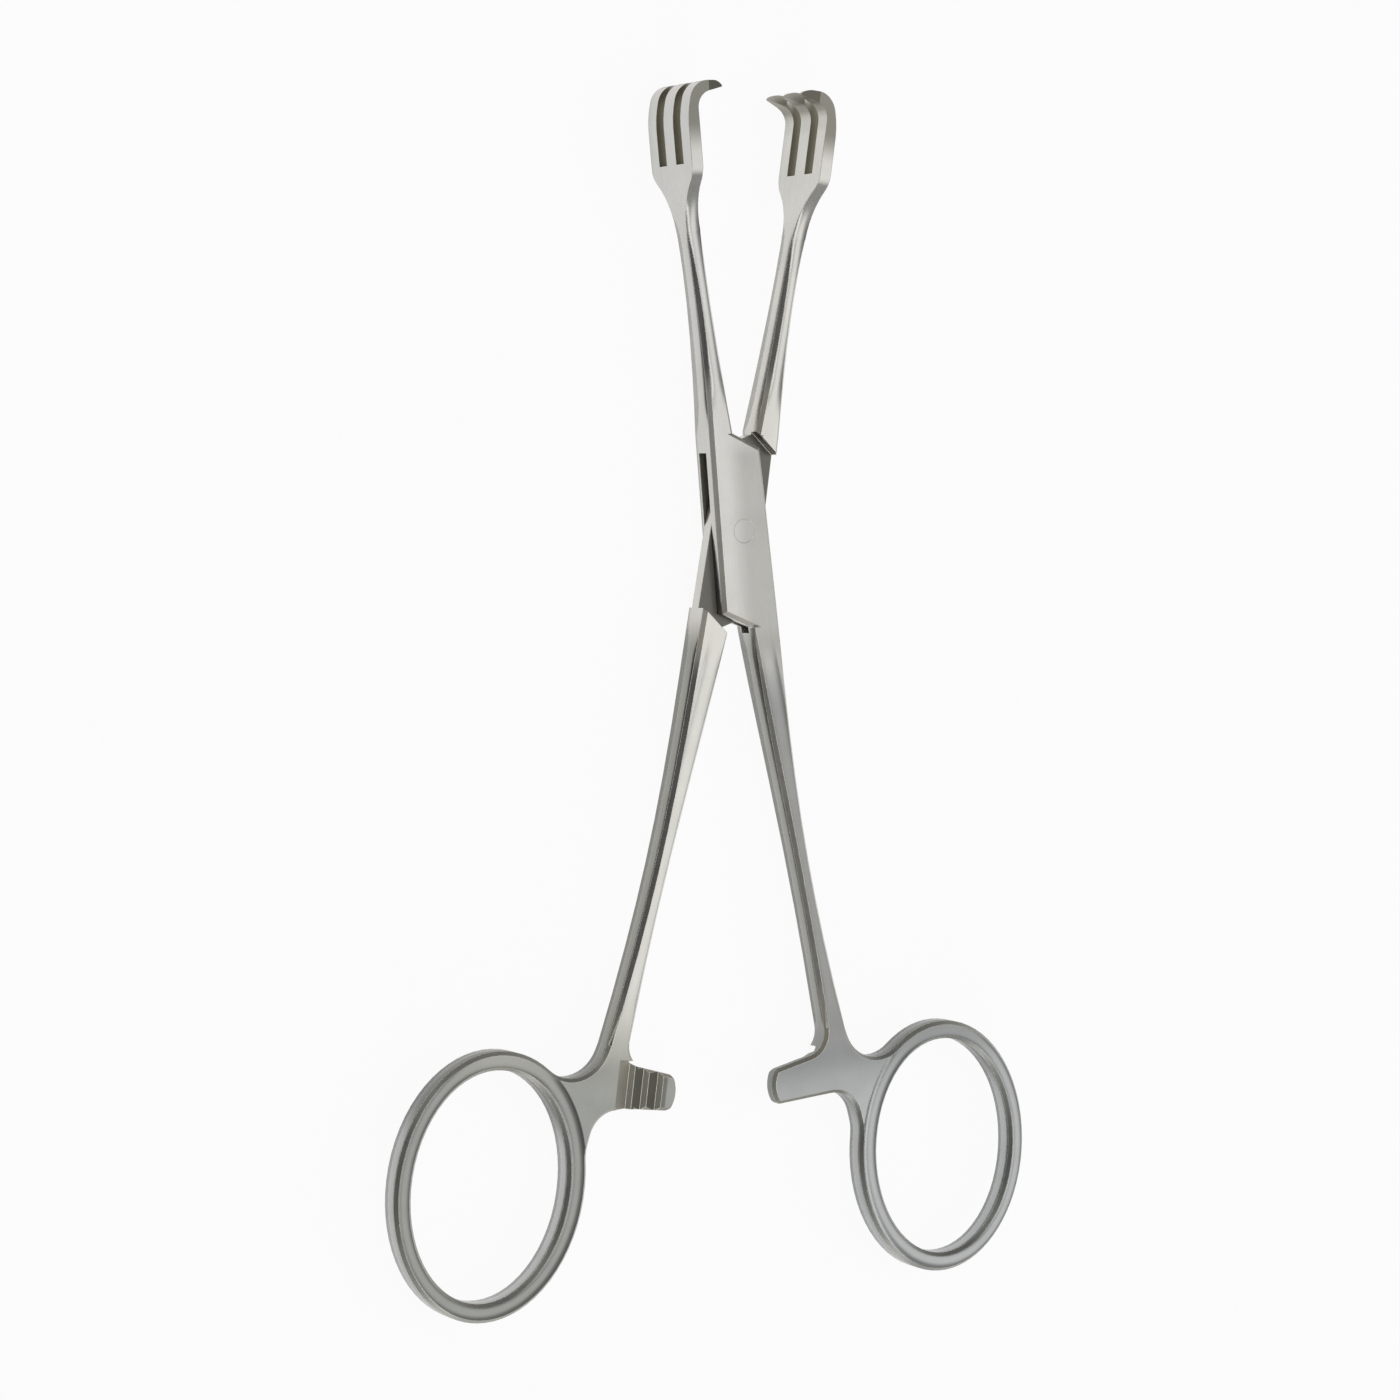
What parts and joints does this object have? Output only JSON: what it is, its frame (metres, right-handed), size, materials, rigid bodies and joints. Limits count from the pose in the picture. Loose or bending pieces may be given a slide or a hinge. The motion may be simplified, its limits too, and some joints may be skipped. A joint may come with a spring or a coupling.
{
  "type": "traction forceps",
  "caption": "Hand-held hinged forceps with flared hooked fork jaws, a box lock, finger rings and a ratchet catch.",
  "frame": {"origin": "where the pivot axis meets the flat back face of the box lock", "axes": "+Z along the pivot axis towards the front face, +Y towards the jaws, +X to the right seen from the front"},
  "size_m": [0.096, 0.1538, 0.0094],
  "materials": {
    "satin_steel": "satin-ground stainless steel with a fine lengthwise grain"
  },
  "bodies": {
    "box_half": {"female_half": "satin_steel", "pivot_pin": "satin_steel"},
    "tenon_half": {"male_half": "satin_steel"}
  },
  "joints": [
    {"name": "pivot", "type": "hinge", "parent": "box_half", "child": "tenon_half", "pos_m": [0, 0, 0.0021], "axis": [0, 0, 1], "range_deg": [-45, 12.4]}
  ]
}
